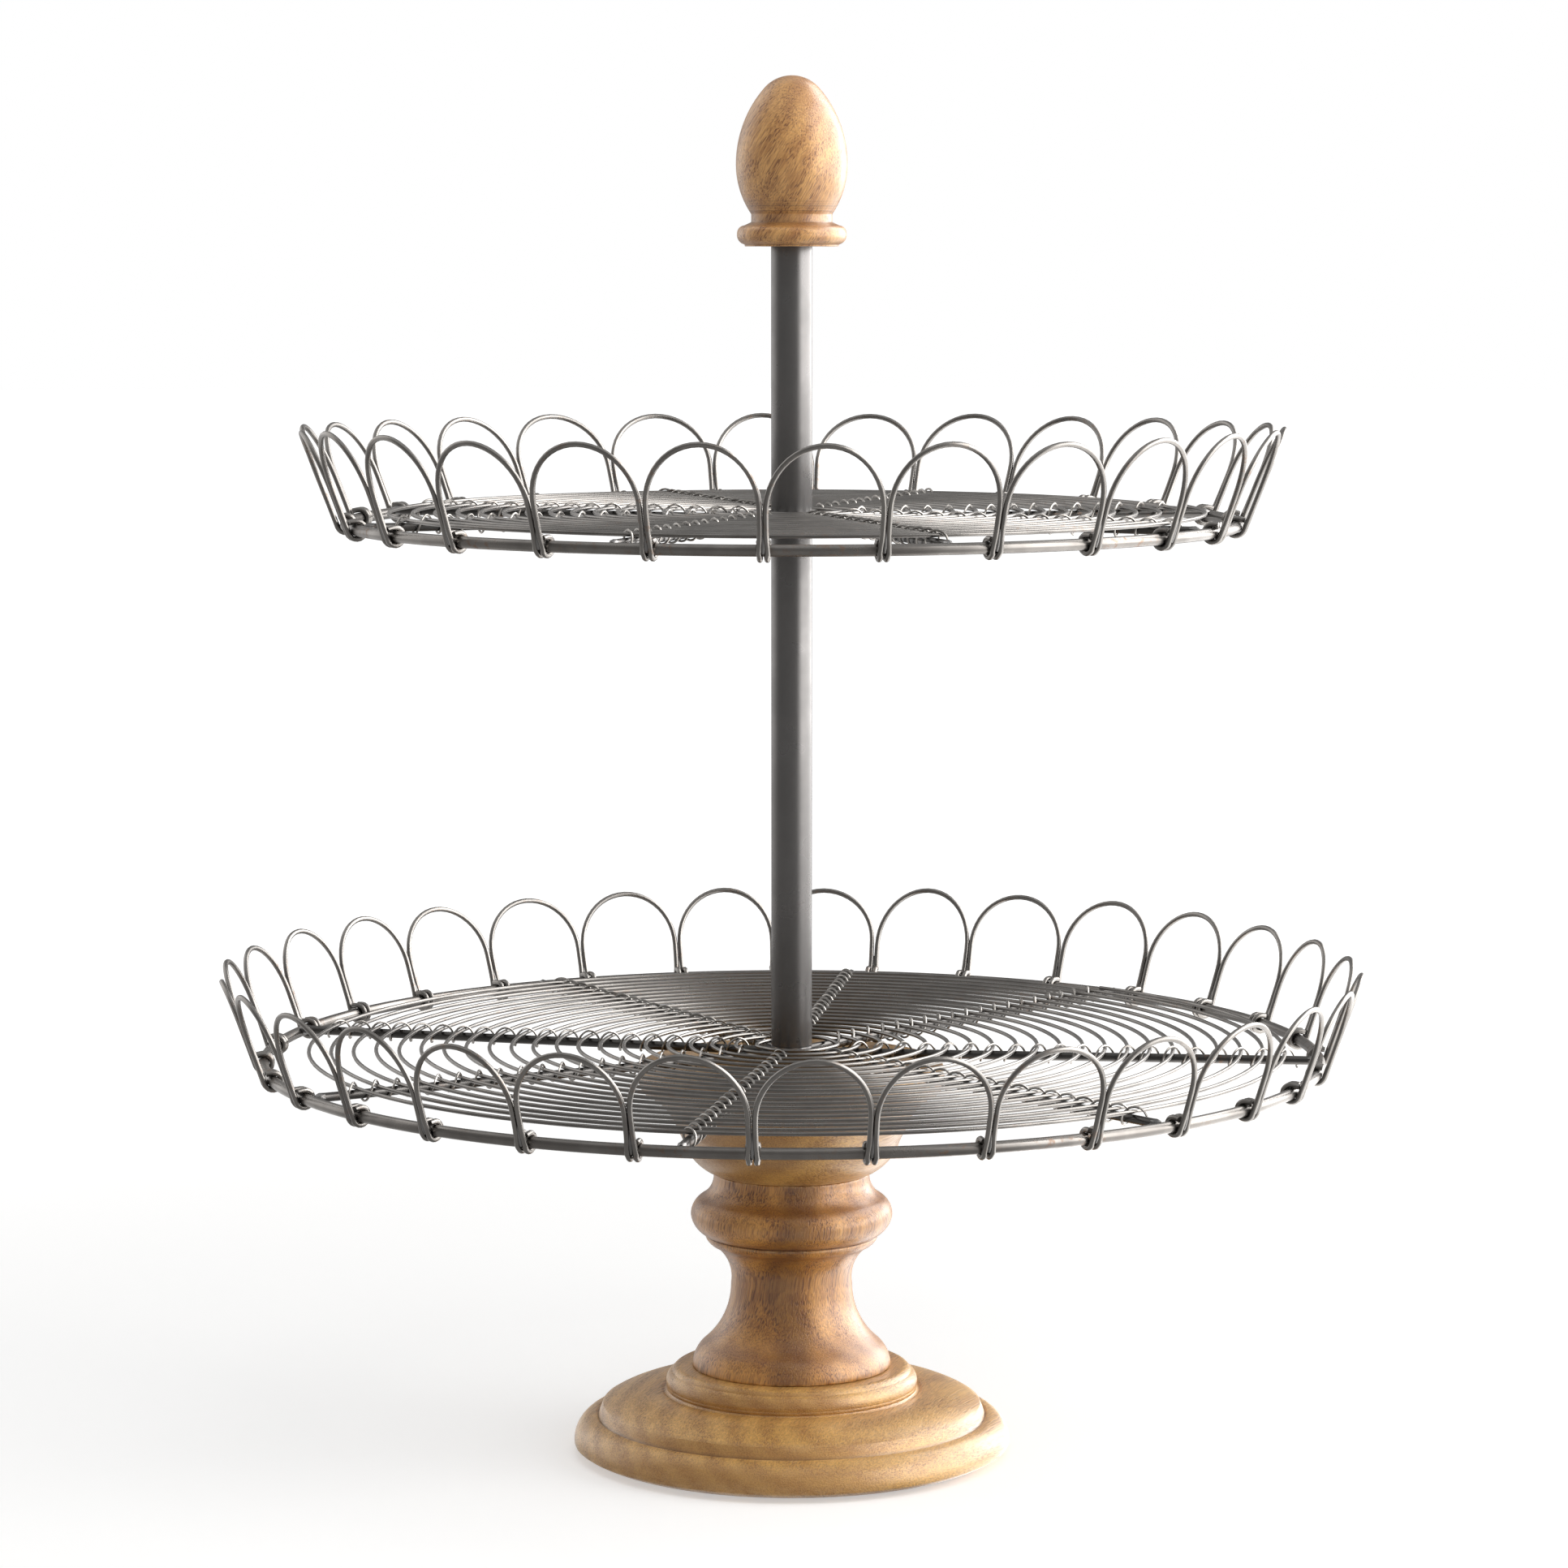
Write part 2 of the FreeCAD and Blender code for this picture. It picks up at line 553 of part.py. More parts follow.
export("lower_post_washer", turning_washer(LOWER_WASHER_BASE))
export("lower_post", sleeve(POST_RADIUS, POST_BORE_RADIUS, LOWER_POST_BASE, UPPER_HUB_BASE))
export("lower_post_bottom_plug", plug(LOWER_POST_BASE))
export("lower_post_top_plug", plug(UPPER_HUB_BASE - PLUG_LENGTH))
export("middle_stud", rod(THREAD_RADIUS, UPPER_HUB_BASE - STUD_ROOT_LENGTH, UPPER_POST_BASE + THREAD_REACH))

# Upper post, which screws onto the middle stud

export("upper_post_washer", turning_washer(UPPER_WASHER_BASE))
export("upper_post", sleeve(POST_RADIUS, POST_BORE_RADIUS, UPPER_POST_BASE, FINIAL_WASHER_BASE))
export("upper_post_bottom_plug", plug(UPPER_POST_BASE))
export("upper_post_top_plug", plug(FINIAL_WASHER_BASE - PLUG_LENGTH))

# Finial, which screws into the top of the upper post

export("finial_washer", turning_washer(FINIAL_WASHER_BASE))
export("finial", finial())
insert_top = FINIAL_SEAT + INSERT_LENGTH
export("finial_insert", sleeve(INSERT_DIAMETER / 2, THREADED_BORE_RADIUS, FINIAL_SEAT, insert_top))
export("finial_stud", rod(THREAD_RADIUS, FINIAL_WASHER_BASE - THREAD_REACH, insert_top))
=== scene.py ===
import math
import random

import bmesh
import bpy
from mathutils import Euler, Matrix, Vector, noise


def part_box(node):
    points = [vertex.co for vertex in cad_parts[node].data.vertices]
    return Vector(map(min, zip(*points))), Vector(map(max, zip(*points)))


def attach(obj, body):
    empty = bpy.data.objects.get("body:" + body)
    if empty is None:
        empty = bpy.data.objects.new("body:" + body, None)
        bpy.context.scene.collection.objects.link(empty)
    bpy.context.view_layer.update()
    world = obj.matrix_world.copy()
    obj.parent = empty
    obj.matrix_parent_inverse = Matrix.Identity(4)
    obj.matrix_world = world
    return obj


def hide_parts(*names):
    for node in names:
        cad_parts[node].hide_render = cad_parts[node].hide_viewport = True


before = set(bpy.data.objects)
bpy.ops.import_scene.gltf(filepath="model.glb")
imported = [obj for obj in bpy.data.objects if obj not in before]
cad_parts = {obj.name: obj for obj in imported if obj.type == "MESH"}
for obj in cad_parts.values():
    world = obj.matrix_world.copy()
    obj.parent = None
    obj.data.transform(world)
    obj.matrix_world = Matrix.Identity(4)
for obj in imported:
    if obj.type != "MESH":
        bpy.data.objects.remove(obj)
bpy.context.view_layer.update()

# Two-tier serving stand: turned wooden pedestal, steel post, two wire trays and an egg finial.
# Lengths are metres; MM turns millimetres into them. Levels and main sizes are read from the frame.
MM = 0.001
UP = Vector((0, 0, 1))
hand = random.Random(11)

TIERS = ("lower", "upper")
SPOKE_COUNT = 8
RING_TURNS = {"lower": 21, "upper": 17}
PETAL_COUNT = {"lower": 31, "upper": 26}
FIRST_JOINT_ANGLE = {"lower": math.radians(10.6), "upper": math.radians(3.7)}

# How far the petals lean out, and how much more at the back of the tray than at the side
PETAL_LEAN = {"lower": math.radians(19.3), "upper": math.radians(22.0)}
PETAL_BACK_LEAN = {"lower": math.radians(0.5), "upper": math.radians(4.5)}

# Turned outlines: share of the radius, share of the height, bow of the run up to the row
FOOT_ROWS = (
    (0.847, 0.0, 0.0),
    (1.0, 0.112, 0.07),
    (0.902, 0.440, 0.20),
    (0.890, 0.418, 0.0),
    (0.882, 0.475, 0.0),
    (0.868, 0.565, 0.0),
    (0.601, 0.725, 0.08),
    (0.588, 0.706, 0.0),
    (0.573, 0.735, -0.10),
    (0.575, 0.775, 0.10),
    (0.549, 0.940, 0.18),
    (0.511, 1.0, 0.15),
)
CAPITAL_ROWS = (
    (0.515, 0.0, 0.0),
    (0.700, 0.245, 0.10),
    (0.745, 0.380, -0.04),
    (0.955, 0.735, -0.10),
    (1.0, 0.830, 0.16),
    (1.0, 0.940, 0.04),
    (0.955, 1.0, 0.20),
)

# Bores and tenons of the turned pieces
ROD_HOLE = 4.25 * MM
TENON = 15.0 * MM
SOCKET = 15.25 * MM
NUT_RECESS = 15.0 * MM
NUT_RECESS_ROOF = 14.0 * MM
FOOT_SOCKET_FLOOR = 18.25 * MM
CAPITAL_SOCKET_DEPTH = 16.25 * MM
FINIAL_SEAT = 8.3 * MM
FINIAL_SEAT_DEPTH = 2.8 * MM
INSERT_SOCKET = 6.05 * MM
INSERT_SOCKET_DEPTH = 18.05 * MM

POST_BORE = 6.5 * MM
POST_CHAMFER = 0.4 * MM

# Tray wires: where they start and end, how thick they are, and the small gaps that solder and slack fill
SPOKE_INNER = 8.3 * MM
SPOKE_RIM_GAP = 0.3 * MM
RING_START = 10.2 * MM
RING_RIM_GAP = 12 * MM
FIRST_LOOP_RADIUS = 12 * MM
BINDING_WIRE = 0.9 * MM
BINDING_GAP = 0.1 * MM
PETAL_WIRE = 2.1 * MM
PETAL_RIM_GAP = 0.1 * MM
PETAL_LEG_GAP = 0.04 * MM
PETAL_HEEL_SPREAD = 0.55 * MM
PETAL_HEEL_HEIGHT = 4 * MM

# Solder: thickness, and along each fillet the share of its length and the swell there
SOLDER_WIRE = 1.9 * MM
LEG_SOLDER_SHARES = (0.02, 0.25, 0.55, 0.85, 1.0)
LEG_SOLDER_SWELLS = (0.75, 1.0, 0.9, 0.6, 0.25)
SPOKE_SOLDER_REACHES = (-4, -2, 0, 1.5)
SPOKE_SOLDER_SWELLS = (1.4, 1.9, 2.0, 1.2)

# Hidden hardware of plated steel
ZINC_NODES = (
    "tie_rod",
    "base_washer",
    "base_nut",
    "lower_post_washer",
    "lower_post_bottom_plug",
    "lower_post_top_plug",
    "middle_stud",
    "upper_post_washer",
    "upper_post_bottom_plug",
    "upper_post_top_plug",
    "finial_washer",
    "finial_stud",
)


# Helpers for objects

def pick(piece):
    """Leave one object selected and active."""
    bpy.ops.object.select_all(action="DESELECT")
    piece.select_set(True)
    bpy.context.view_layer.objects.active = piece


def placed(name, data):
    """Object of some data, linked to the scene and picked."""
    piece = bpy.data.objects.new(name, data)
    bpy.context.scene.collection.objects.link(piece)
    pick(piece)
    return piece


def arc_points(start, end, bow, count):
    """Points after the start on an arc of an outline; a positive bow swells to the right of the run."""
    if bow == 0:
        return [end]
    turn = 4 * math.atan(2 * bow)
    across = end[0] - start[0]
    rise = end[1] - start[1]
    points = []
    for step in range(1, count + 1):
        share = step / count
        scale = math.sin(turn * share / 2) / math.sin(turn / 2)
        swing = turn / 2 * (1 - share)
        along = (across * math.cos(swing) + rise * math.sin(swing)) * scale
        upward = (rise * math.cos(swing) - across * math.sin(swing)) * scale
        points.append((start[0] + along, start[1] + upward))
    return points


def outline(rows, count=10):
    """Points of an outline from rows of radius, height and bow."""
    points = [rows[0][:2]]
    for start, end in zip(rows, rows[1:]):
        points += arc_points(start[:2], end[:2], end[2], count)
    return points


def ogee(start, end, meet):
    """Rows of a double curve that is upright at both ends."""
    across = end[0] - start[0]
    rise = end[1] - start[1]
    bow = math.tan(math.atan2(abs(across), rise) / 2) / 2
    if across > 0:
        bow = -bow
    return [(start[0] + across * meet, start[1] + rise * meet, bow), (end[0], end[1], -bow)]


def turned(name, points, steps, softness=0.35 * MM, closed=True):
    """Piece turned on the lathe from an outline, with its edges softened."""
    edges = [(number, number + 1) for number in range(len(points) - 1)]
    if closed:
        edges.append((len(points) - 1, 0))
    mesh = bpy.data.meshes.new(name)
    mesh.from_pydata([(radius, 0, height) for radius, height in points], edges, [])
    piece = placed(name, mesh)
    bpy.ops.object.mode_set(mode="EDIT")
    bpy.ops.mesh.select_all(action="SELECT")
    bpy.ops.mesh.spin(steps=steps, angle=2 * math.pi, center=(0, 0, 0), axis=(0, 0, 1))
    bpy.ops.mesh.select_all(action="SELECT")
    bpy.ops.mesh.remove_doubles(threshold=0.01 * MM)
    bpy.ops.mesh.normals_make_consistent(inside=False)
    bpy.ops.object.mode_set(mode="OBJECT")
    soft = piece.modifiers.new("soft_edges", "BEVEL")
    soft.width = softness
    soft.segments = 2
    soft.limit_method = "ANGLE"
    soft.angle_limit = math.radians(24)
    bpy.ops.object.modifier_apply(modifier="soft_edges")
    bpy.ops.object.shade_smooth_by_angle(angle=math.radians(50))
    mark_hollows(piece)
    return piece


def mark_hollows(piece):
    """Store how far each point lies in a groove (below a half) or on a ridge (above it)."""
    shape = bmesh.new()
    shape.from_mesh(piece.data)
    bends = []
    for point in shape.verts:
        bend = 0
        for edge in point.link_edges:
            way = edge.other_vert(point).co - point.co
            bend -= way.normalized().dot(point.normal)
        bends.append(bend / max(len(point.link_edges), 1))
    shape.verts.ensure_lookup_table()
    for smoothing in range(3):
        eased = []
        for point in shape.verts:
            around = [bends[edge.other_vert(point).index] for edge in point.link_edges]
            eased.append((bends[point.index] + sum(around)) / (1 + len(around)))
        bends = eased
    shape.free()
    layer = piece.data.attributes.new("ridge", "FLOAT", "POINT")
    for spot, bend in zip(layer.data, bends):
        spot.value = min(max(0.5 + 2.5 * bend, 0), 1)


def wear(piece, depth):
    """Rub the sharp edges of a turned piece down unevenly, as use does."""
    worn = []
    for point, ridge in zip(piece.data.vertices, piece.data.attributes["ridge"].data):
        share = min(max((ridge.value - 0.58) / 0.3, 0), 1)
        rubbed = 0.5 + 0.5 * noise.noise(point.co * 90) + 0.25 * noise.noise(point.co * 300)
        worn.extend(point.co - point.normal * (depth * share * max(rubbed, 0) ** 2))
    piece.data.vertices.foreach_set("co", worn)
    piece.data.update()


def mark_end_grain(piece, grain_turn):
    """Store how squarely the fibre, turned from upright by angles, meets the surface at each point."""
    fibre = Euler(grain_turn).to_matrix() @ UP
    layer = piece.data.attributes.new("end_grain", "FLOAT", "POINT")
    layer.data.foreach_set("value", [abs(point.normal.dot(fibre)) for point in piece.data.vertices])


def wire_piece(name, paths, diameter, sides, closed=False, swells=None):
    """Round wires along lists of places; swells give each path's thickness at every place."""
    curve = bpy.data.curves.new(name, "CURVE")
    curve.dimensions = "3D"
    curve.bevel_depth = diameter / 2
    curve.bevel_resolution = (sides - 4) // 2
    curve.use_fill_caps = True
    for number, path in enumerate(paths):
        spline = curve.splines.new("POLY")
        spline.points.add(len(path) - 1)
        for step, place in enumerate(path):
            spline.points[step].co = (place.x, place.y, place.z, 1)
            if swells:
                spline.points[step].radius = swells[number][step]
        spline.use_cyclic_u = closed
    piece = placed(name, curve)
    bpy.ops.object.convert(target="MESH")
    bpy.ops.object.shade_smooth_by_angle(angle=math.radians(50))
    return piece


def dress(piece, body, slot, material, *nodes):
    """Give a piece its body, its material and the nodes that it shows; the slot is not used."""
    piece.data.materials.clear()
    piece.data.materials.append(material)
    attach(piece, body)
    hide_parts(*nodes)


# Helpers for materials

def feed(tree, socket, given):
    """Join a socket to another, or set its value."""
    if isinstance(given, bpy.types.NodeSocket):
        tree.links.new(given, socket)
    else:
        socket.default_value = given


def value_step(tree, operation, *given, clamp=False):
    """Math on sockets or numbers."""
    step = tree.nodes.new("ShaderNodeMath")
    step.operation = operation
    step.use_clamp = clamp
    for socket, value in zip(step.inputs, given):
        feed(tree, socket, value)
    return step.outputs[0]


def between(tree, value, low, high):
    """Where a value stands between two others, from 0 to 1."""
    step = tree.nodes.new("ShaderNodeMapRange")
    step.interpolation_type = "SMOOTHSTEP"
    feed(tree, step.inputs["Value"], value)
    step.inputs["From Min"].default_value = low
    step.inputs["From Max"].default_value = high
    return step.outputs[0]


def tint(tree, share, first, second):
    """Mix of two colours."""
    step = tree.nodes.new("ShaderNodeMix")
    step.data_type = "RGBA"
    feed(tree, step.inputs[0], share)
    feed(tree, step.inputs[6], first)
    feed(tree, step.inputs[7], second)
    return step.outputs[2]


def speckle(tree, place, fineness, detail=3.0, roughness=0.55, distortion=0.0):
    """Noise with its own fineness, per metre, along X, Y and Z."""
    stretch = tree.nodes.new("ShaderNodeVectorMath")
    stretch.operation = "MULTIPLY"
    feed(tree, stretch.inputs[0], place)
    stretch.inputs[1].default_value = fineness
    specks = tree.nodes.new("ShaderNodeTexNoise")
    tree.links.new(stretch.outputs[0], specks.inputs["Vector"])
    specks.inputs["Scale"].default_value = 1.0
    specks.inputs["Detail"].default_value = detail
    specks.inputs["Roughness"].default_value = roughness
    specks.inputs["Distortion"].default_value = distortion
    return specks.outputs[0]


def new_group(name, inputs, outputs):
    """Node group with named sockets; gives the group, the sockets that feed it and those that it feeds."""
    tree = bpy.data.node_groups.new(name, "ShaderNodeTree")
    for label, kind in inputs:
        tree.interface.new_socket(label, in_out="INPUT", socket_type="NodeSocket" + kind)
    for label, kind in outputs:
        tree.interface.new_socket(label, in_out="OUTPUT", socket_type="NodeSocket" + kind)
    return tree, tree.nodes.new("NodeGroupInput").outputs, tree.nodes.new("NodeGroupOutput").inputs


def wood_group():
    """Fibres, year rings and pores of a hardwood; the fibre runs along the place's Z."""
    inputs = (("Place", "Vector"), ("Pale", "Color"), ("Deep", "Color"), ("Pore", "Color"),
              ("Ring scale", "Float"), ("Pores", "Float"))
    outputs = (("Colour", "Color"), ("Roughness", "Float"), ("Height", "Float"))
    tree, given, made = new_group("hardwood", inputs, outputs)
    place = given["Place"]
    patch = between(tree, speckle(tree, place, (70, 70, 6), 2.0), 0.36, 0.64)
    fibre = between(tree, speckle(tree, place, (330, 330, 14), 4.0, 0.6, 0.3), 0.34, 0.66)
    hair = speckle(tree, place, (1900, 1900, 60), 2.0)
    rings = tree.nodes.new("ShaderNodeTexWave")
    rings.wave_type = "RINGS"
    rings.rings_direction = "Z"
    tree.links.new(place, rings.inputs["Vector"])
    tree.links.new(given["Ring scale"], rings.inputs["Scale"])
    rings.inputs["Distortion"].default_value = 6.0
    rings.inputs["Detail"].default_value = 3.0
    rings.inputs["Detail Scale"].default_value = 0.7
    band = rings.outputs[1]
    strokes = between(tree, speckle(tree, place, (1750, 1750, 66), 2.0, 0.5, 0.4), 0.35, 0.63)
    dashes = between(tree, speckle(tree, place, (2100, 2100, 130), 0.0), 0.57, 0.67)
    crowd = value_step(tree, "MULTIPLY_ADD", band, 0.55, 0.45)
    pores = value_step(tree, "MULTIPLY", dashes, crowd)
    pores = value_step(tree, "MULTIPLY", pores, given["Pores"], clamp=True)
    depth = value_step(tree, "MULTIPLY", band, 0.32)
    depth = value_step(tree, "MULTIPLY_ADD", fibre, 0.18, depth)
    depth = value_step(tree, "MULTIPLY_ADD", strokes, 0.40, depth)
    depth = value_step(tree, "MULTIPLY_ADD", patch, 0.10, depth, clamp=True)
    colour = tint(tree, depth, given["Pale"], given["Deep"])
    colour = tint(tree, pores, colour, given["Pore"])
    tree.links.new(colour, made["Colour"])
    gloss = value_step(tree, "MULTIPLY_ADD", fibre, 0.10, 0.36)
    tree.links.new(value_step(tree, "MULTIPLY_ADD", pores, 0.25, gloss), made["Roughness"])
    relief_height = value_step(tree, "MULTIPLY_ADD", strokes, -0.5, hair)
    tree.links.new(value_step(tree, "MULTIPLY_ADD", pores, -0.9, relief_height), made["Height"])
    return tree


def lathe_and_groove_shade_group():
    """Fine rings that the lathe left, paler rubbed ridges, and grooves darkened by painted shade and partly
    by wax built up in them.
    """
    inputs = (("Place", "Vector"), ("Ridge", "Float"), ("Lines", "Float"), ("Colour", "Color"),
              ("Height", "Float"))
    tree, given, made = new_group("lathe_marks_and_groove_shade", inputs, (("Colour", "Color"), ("Height", "Float")))
    lines = between(tree, speckle(tree, given["Place"], (0, 0, 1500), 3.0), 0.3, 0.7)
    shown = value_step(tree, "MULTIPLY", lines, given["Lines"])
    groove_shade_and_wax = between(tree, given["Ridge"], 0.46, 0.20)
    ridges = between(tree, given["Ridge"], 0.56, 0.80)
    scuffs = between(tree, speckle(tree, given["Place"], (260, 260, 700), 3.0), 0.40, 0.62)
    pale_edge = value_step(tree, "MULTIPLY", value_step(tree, "MULTIPLY", ridges, scuffs), 0.55)
    colour = tint(tree, shown, given["Colour"], (0.10, 0.045, 0.018, 1))
    # Darker grooves: painted shade where light reaches less, and partly wax built up in them.
    colour = tint(tree, value_step(tree, "MULTIPLY", groove_shade_and_wax, 0.72), colour, (0.075, 0.032, 0.012, 1))
    colour = tint(tree, pale_edge, colour, (0.70, 0.46, 0.22, 1))
    tree.links.new(colour, made["Colour"])
    tree.links.new(value_step(tree, "MULTIPLY_ADD", shown, 2.0, given["Height"]), made["Height"])
    return tree


def steel_group():
    """Drawn steel with slightly duller patches and specks of rust."""
    inputs = (("Place", "Vector"), ("Bright", "Color"), ("Dull", "Color"), ("Rust", "Color"),
              ("Rusting", "Float"))
    outputs = (("Colour", "Color"), ("Roughness", "Float"), ("Height", "Float"))
    tree, given, made = new_group("drawn_steel", inputs, outputs)
    place = given["Place"]
    patch = between(tree, speckle(tree, place, (60, 60, 60), 3.0, 0.55), 0.36, 0.66)
    region = between(tree, speckle(tree, place, (22, 22, 22), 2.0), 0.50, 0.66)
    spots = between(tree, speckle(tree, place, (420, 420, 420), 3.0, 0.6), 0.52, 0.66)
    rust = value_step(tree, "MULTIPLY", spots, region)
    rust = value_step(tree, "MULTIPLY", rust, given["Rusting"], clamp=True)
    pits = speckle(tree, place, (1300, 1300, 1300), 2.0)
    colour = tint(tree, patch, given["Bright"], given["Dull"])
    tree.links.new(tint(tree, rust, colour, given["Rust"]), made["Colour"])
    gloss = value_step(tree, "MULTIPLY_ADD", patch, 0.08, 0.27)
    tree.links.new(value_step(tree, "MULTIPLY_ADD", rust, 0.30, gloss), made["Roughness"])
    tree.links.new(value_step(tree, "MULTIPLY_ADD", rust, 0.5, pits), made["Height"])
    return tree


def new_material(name):
    """Material with a Principled shader; gives the material, its tree and the shader's inputs."""
    material = bpy.data.materials.new(name)
    material.use_nodes = True
    tree = material.node_tree
    return material, tree, tree.nodes["Principled BSDF"].inputs


def relief(tree, height, distance, strength):
    """Bump from a height."""
    bump = tree.nodes.new("ShaderNodeBump")
    bump.inputs["Strength"].default_value = strength
    bump.inputs["Distance"].default_value = distance
    tree.links.new(height, bump.inputs["Height"])
    return bump.outputs[0]


HARDWOOD = wood_group()
LATHE_MARKS_AND_GROOVE_SHADE = lathe_and_groove_shade_group()
DRAWN_STEEL = steel_group()


def wood(name, pale, deep, pore, grain_turn, grain_shift, stretch, pores, heart=0.0, line_band=(0.0, 0.0)):
    """Waxed turned wood, its fibre turned from upright by angles about X, Y and Z.

    The stretch draws the fibre out. The heart is a dark streak down the front, and the line band
    the levels where the lathe left clear rings. End grain is darker; on the egg's top this darkening is
    also painted shade.
    """
    material, tree, shader = new_material(name)
    coordinates = tree.nodes.new("ShaderNodeTexCoord").outputs["Object"]
    turn = tree.nodes.new("ShaderNodeMapping")
    turn.vector_type = "TEXTURE"
    tree.links.new(coordinates, turn.inputs["Vector"])
    turn.inputs["Location"].default_value = grain_shift
    turn.inputs["Rotation"].default_value = grain_turn
    turn.inputs["Scale"].default_value = (1, 1, stretch)
    grain = tree.nodes.new("ShaderNodeGroup")
    grain.node_tree = HARDWOOD
    tree.links.new(turn.outputs[0], grain.inputs["Place"])
    grain.inputs["Pale"].default_value = pale
    grain.inputs["Deep"].default_value = deep
    grain.inputs["Pore"].default_value = pore
    grain.inputs["Ring scale"].default_value = 34.0
    grain.inputs["Pores"].default_value = pores
    colour = grain.outputs["Colour"]
    # End grain is darker; on the egg's top the same darkening is also painted shade.
    ends = tree.nodes.new("ShaderNodeAttribute")
    ends.attribute_name = "end_grain"
    end_grain_and_top_shade = value_step(tree, "MULTIPLY", between(tree, ends.outputs["Fac"], 0.50, 0.90), 0.55)
    colour = tint(tree, end_grain_and_top_shade, colour, deep)
    split = tree.nodes.new("ShaderNodeSeparateXYZ")
    tree.links.new(coordinates, split.inputs[0])
    if heart:
        drift = speckle(tree, coordinates, (5, 5, 13), 3.0)
        sway = value_step(tree, "MULTIPLY_ADD", drift, 0.05, split.outputs[0])
        off_heart = value_step(tree, "ABSOLUTE", value_step(tree, "SUBTRACT", sway, 0.021))
        streak = value_step(tree, "MULTIPLY", between(tree, off_heart, 0.011, 0.003), heart)
        colour = tint(tree, streak, colour, pore)
    ridge = tree.nodes.new("ShaderNodeAttribute")
    ridge.attribute_name = "ridge"
    above = between(tree, split.outputs[2], line_band[0], line_band[0] + MM)
    below = between(tree, split.outputs[2], line_band[1], line_band[1] - MM)
    lines = value_step(tree, "MULTIPLY_ADD", value_step(tree, "MULTIPLY", above, below), 0.45, 0.08)
    marks = tree.nodes.new("ShaderNodeGroup")
    marks.node_tree = LATHE_MARKS_AND_GROOVE_SHADE
    tree.links.new(coordinates, marks.inputs["Place"])
    tree.links.new(ridge.outputs["Fac"], marks.inputs["Ridge"])
    tree.links.new(lines, marks.inputs["Lines"])
    tree.links.new(colour, marks.inputs["Colour"])
    tree.links.new(grain.outputs["Height"], marks.inputs["Height"])
    tree.links.new(marks.outputs["Colour"], shader["Base Color"])
    tree.links.new(grain.outputs["Roughness"], shader["Roughness"])
    shader["Specular IOR Level"].default_value = 0.5
    shader["Coat Weight"].default_value = 0.6
    shader["Coat Roughness"].default_value = 0.28
    tree.links.new(relief(tree, marks.outputs["Height"], 0.16 * MM, 0.6), shader["Normal"])
    return material


def steel(name, bright, dull, rust, rusting, metallic=1.0, pitting=0.10):
    """Steel wire, tube or hardware."""
    material, tree, shader = new_material(name)
    coordinates = tree.nodes.new("ShaderNodeTexCoord").outputs["Object"]
    drawn = tree.nodes.new("ShaderNodeGroup")
    drawn.node_tree = DRAWN_STEEL
    tree.links.new(coordinates, drawn.inputs["Place"])
    drawn.inputs["Bright"].default_value = bright
    drawn.inputs["Dull"].default_value = dull
    drawn.inputs["Rust"].default_value = rust
    drawn.inputs["Rusting"].default_value = rusting
    tree.links.new(drawn.outputs["Colour"], shader["Base Color"])
    tree.links.new(drawn.outputs["Roughness"], shader["Roughness"])
    shader["Metallic"].default_value = metallic
    tree.links.new(relief(tree, drawn.outputs["Height"], 0.10 * MM, pitting), shader["Normal"])
    return material


RUST = (0.16, 0.075, 0.03, 1)

# How the fibre of each turned piece lies: angles about X, Y and Z from upright
FOOT_GRAIN = (math.radians(84), 0, math.radians(-18))
CAPITAL_GRAIN = (math.radians(95), 0, math.radians(-38))
COLUMN_GRAIN = (math.radians(5), math.radians(7), 0)
EGG_GRAIN = (math.radians(8), math.radians(30), 0)

FOOT_WOOD = wood("foot_wood", (0.86, 0.51, 0.148, 1), (0.36, 0.160, 0.031, 1), (0.18, 0.074, 0.016, 1),
                 FOOT_GRAIN, (0.06, 0.0, 0.09), 3.2, 0.6)
# The capital's pale and deep colours are darker than the foot's: painted shadow of the lower tray above it.
CAPITAL_WOOD_WITH_PAINTED_SHADE = wood("capital_wood_with_painted_shade", (0.70, 0.400, 0.112, 1), (0.30, 0.135, 0.028, 1),
                    (0.17, 0.070, 0.015, 1), CAPITAL_GRAIN, (-0.05, 0.02, 0.30), 2.4, 0.6)
COLUMN_WOOD = wood("column_wood", (0.72, 0.350, 0.075, 1), (0.25, 0.086, 0.013, 1), (0.09, 0.030, 0.006, 1),
                   COLUMN_GRAIN, (0.03, 0.055, 0.0), 3.0, 0.8, heart=0.55)
EGG_WOOD = wood("egg_wood", (0.82, 0.445, 0.146, 1), (0.36, 0.145, 0.032, 1), (0.18, 0.064, 0.014, 1),
                EGG_GRAIN, (0.05, 0.03, 0.0), 0.5, 0.9,
                line_band=(487.5 * MM, 493.5 * MM))
POST_STEEL = steel("post_steel", (0.125, 0.121, 0.119, 1), (0.110, 0.107, 0.105, 1), RUST, 0.05, 0.62, 0.04)
PETAL_STEEL = steel("petal_steel", (0.205, 0.196, 0.185, 1), (0.160, 0.153, 0.145, 1), RUST, 0.30)
RIM_STEEL = steel("rim_steel", (0.180, 0.171, 0.161, 1), (0.135, 0.127, 0.119, 1), RUST, 0.45)
RING_STEEL = steel("ring_steel", (0.185, 0.177, 0.168, 1), (0.145, 0.139, 0.132, 1), RUST, 0.20)
SPOKE_STEEL = steel("spoke_steel", (0.080, 0.077, 0.074, 1), (0.058, 0.056, 0.054, 1), RUST, 0.30)
BINDING_STEEL = steel("binding_steel", (0.29, 0.278, 0.262, 1), (0.19, 0.181, 0.170, 1), RUST, 0.25)
